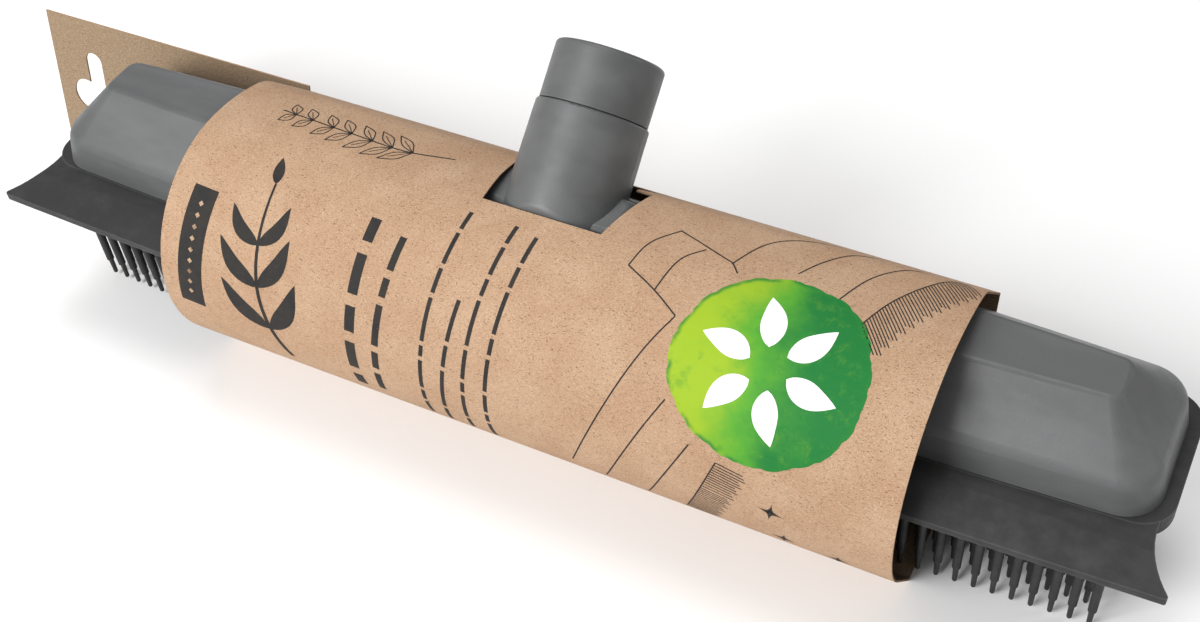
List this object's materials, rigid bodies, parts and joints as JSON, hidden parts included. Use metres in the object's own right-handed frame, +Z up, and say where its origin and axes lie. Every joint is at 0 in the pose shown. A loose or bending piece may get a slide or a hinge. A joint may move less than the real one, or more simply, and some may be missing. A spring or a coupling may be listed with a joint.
{
  "type": "rubber broom head in card sleeve",
  "caption": "Rubber push broom head with a squeegee lip, soft rubber bristles and a tilted threaded handle socket, wrapped in a folded card sleeve with a hang tab.",
  "frame": {"origin": "on the floor, on the bottom face of the card sleeve, under the middle of the housing", "axes": "+X along the broom's length, towards the sleeve's open end away from the hang tab; -Y is the squeegee side; +Z up"},
  "size_m": [0.366, 0.088, 0.099],
  "materials": {
    "housing_plastic": "satin blue-grey recycled plastic with a fine moulded grain",
    "carrier_plastic": "dark moulded plastic, ungrained",
    "black_rubber": "matte black rubber, lightly dusted",
    "zinc_steel": "bright zinc-plated steel",
    "kraft_card": null
  },
  "bodies": {
    "broom": {"housing": "housing_plastic", "carrier_plate": "carrier_plastic", "sole_pad": "black_rubber", "squeegee_lip": "black_rubber", "bristle_row_1": "black_rubber", "bristle_row_2": "black_rubber", "bristle_row_3": "black_rubber", "bristle_row_4": "black_rubber", "bristle_row_5": "black_rubber", "bristle_row_6": "black_rubber", "bristle_row_7": "black_rubber", "sole_screws": "zinc_steel", "screw_washers": "zinc_steel"},
    "adapter": {"handle_adapter": "housing_plastic"},
    "sleeve": {"card_sleeve": "kraft_card"}
  },
  "joints": [
    {"name": "adapter_turn", "type": "hinge", "parent": "broom", "child": "adapter", "pos_m": [0, 0, 0.0603], "axis": [0, 0.7604, 0.6494], "range_deg": [0, 90]},
    {"name": "sleeve_shift", "type": "slide", "parent": "broom", "child": "sleeve", "axis": [1, 0, 0], "range_m": [-0.0014, 0.0006]}
  ]
}
